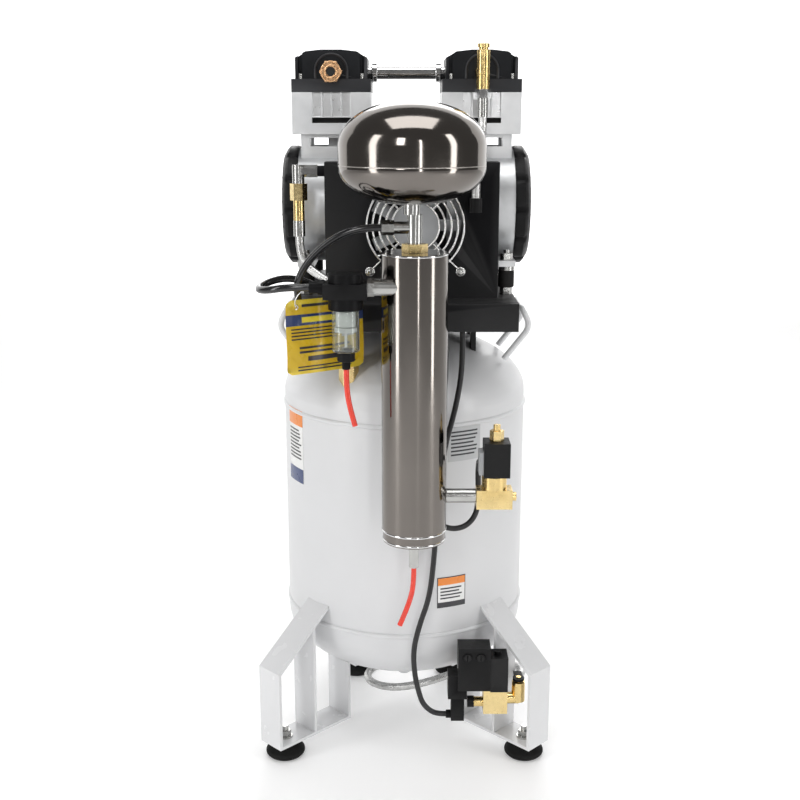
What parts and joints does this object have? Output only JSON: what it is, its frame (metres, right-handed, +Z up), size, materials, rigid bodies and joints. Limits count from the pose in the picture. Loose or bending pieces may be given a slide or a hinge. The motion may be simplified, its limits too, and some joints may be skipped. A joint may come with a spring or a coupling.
{
  "type": "air compressor",
  "caption": "Upright white air receiver on bent strap legs with a twin-head oil-free pump on top, front-mounted air dryer, water filter, purge valve and timed drain.",
  "frame": {"origin": "where the tank's vertical axis meets the floor that the feet stand on", "axes": "+Z up along the tank, +X to the right along the pump shaft, -Y towards the dryer side"},
  "size_m": [0.355, 0.5165, 0.8505],
  "materials": {
    "tank_paint": "gloss white powder coat",
    "leg_paint": "gloss white powder coat",
    "deck_paint": "satin black powder coat",
    "box_paint": "fine textured black paint",
    "rubber": "matt black rubber",
    "zinc_steel": "bright zinc plate",
    "cast_aluminium": "sand cast and machined",
    "head_paint": "satin dark grey paint",
    "black_plastic": "moulded black nylon",
    "grey_plastic": "moulded grey nylon",
    "polished_steel": "polished stainless steel",
    "steel_wire": "bright plated wire",
    "brass": "machined brass",
    "steel_core": "machined steel",
    "winding": "laminated core with varnished winding",
    "motor_paint": "satin black paint",
    "copper_tube": "bare copper tube",
    "bead_fill": "white granules",
    "clear_plastic": "clear moulded bowl",
    "white_plastic": "sintered white element",
    "black_tube": "glossy black nylon tube",
    "red_tube": "translucent red tube",
    "cable_jacket": "black cable jacket",
    "steel_braid": "woven stainless braid",
    "tag_card": "laminated yellow card",
    "gauge_face": "black case with white dial"
  },
  "bodies": {
    "root": {"tank_shell": "tank_paint", "tank_heads": "tank_paint", "front_legs": "leg_paint", "rear_legs": "leg_paint", "foot_pads": "rubber", "foot_bolts": "zinc_steel", "lifting_handles": "leg_paint", "pump_platform": "deck_paint", "rubber_mounts": "rubber", "mount_bolts": "zinc_steel", "crankcases": "cast_aluminium", "cylinder_blocks": "cast_aluminium", "head_covers": "head_paint", "head_screws": "zinc_steel", "crossover_tube": "steel_wire", "line_fittings": "brass", "end_covers": "black_plastic", "shaft_bearings": "zinc_steel", "motor_housing": "motor_paint", "motor_stator": "winding", "cooler_box": "box_paint", "fan_frame": "black_plastic", "fan_guard": "steel_wire", "cooler_coil": "copper_tube", "dryer_cylinder": "polished_steel", "desiccant_bed": "bead_fill", "expansion_bulb": "polished_steel", "dryer_fittings": "polished_steel", "dryer_bracket": "leg_paint", "filter_head": "black_plastic", "filter_bowl": "clear_plastic", "filter_element": "white_plastic", "purge_valve": "brass", "purge_valve_coil": "black_plastic", "drain_valve": "brass", "drain_timer": "black_plastic", "control_manifold": "brass", "pressure_switch": "black_plastic", "pressure_gauges": "gauge_face", "hang_tag": "tag_card", "dryer_air_tube": "black_tube", "filter_air_tube": "black_tube", "filter_drain_tube": "red_tube", "dryer_drain_tube": "red_tube", "purge_cable": "cable_jacket", "drain_cable": "cable_jacket", "pump_hose": "steel_braid", "tank_hose": "steel_braid", "drain_hose": "steel_braid"},
    "rotor": {"crankshaft": "steel_core", "motor_rotor": "steel_core", "cooling_fans": "black_plastic"},
    "left_piston": {"left_piston": "cast_aluminium"},
    "right_piston": {"right_piston": "cast_aluminium"},
    "fan": {"fan_impeller": "grey_plastic"},
    "off_dial": {"off_time_dial": "grey_plastic"},
    "on_dial": {"on_time_dial": "grey_plastic"},
    "drain_lever": {"ball_valve_lever": "black_plastic"},
    "relief_pull": {"relief_pull": "brass"},
    "switch_lever": {"switch_lever": "black_plastic"}
  },
  "joints": [
    {"name": "shaft_turn", "type": "hinge", "parent": "root", "child": "rotor", "pos_m": [0.002, 0, 0.664], "axis": [1, 0, 0], "continuous": true},
    {"name": "left_piston_slide", "type": "slide", "parent": "root", "child": "left_piston", "axis": [0, 0, 1], "range_m": [-0.016, 0]},
    {"name": "right_piston_slide", "type": "slide", "parent": "root", "child": "right_piston", "axis": [0, 0, 1], "range_m": [0, 0.016]},
    {"name": "fan_turn", "type": "hinge", "parent": "root", "child": "fan", "pos_m": [0.012, -0.09, 0.647], "axis": [0, 1, 0], "continuous": true},
    {"name": "off_dial_turn", "type": "hinge", "parent": "root", "child": "off_dial", "pos_m": [0.075, -0.174, 0.142], "axis": [0, 1, 0], "range_deg": [-135, 135]},
    {"name": "on_dial_turn", "type": "hinge", "parent": "root", "child": "on_dial", "pos_m": [0.091, -0.174, 0.142], "axis": [0, 1, 0], "range_deg": [-135, 135]},
    {"name": "drain_lever_turn", "type": "hinge", "parent": "root", "child": "drain_lever", "pos_m": [0.138, -0.16, 0.107], "axis": [0, 0, 1], "range_deg": [-90, 0]},
    {"name": "relief_pull_lift", "type": "slide", "parent": "root", "child": "relief_pull", "axis": [0, 0, 1], "range_m": [0, 0.002], "stiffness_N_per_m": 800, "springref_m": -0.002},
    {"name": "switch_lever_turn", "type": "hinge", "parent": "root", "child": "switch_lever", "pos_m": [0.036, 0.188, 0.443], "axis": [1, 0, 0], "range_deg": [-30, 30]}
  ]
}
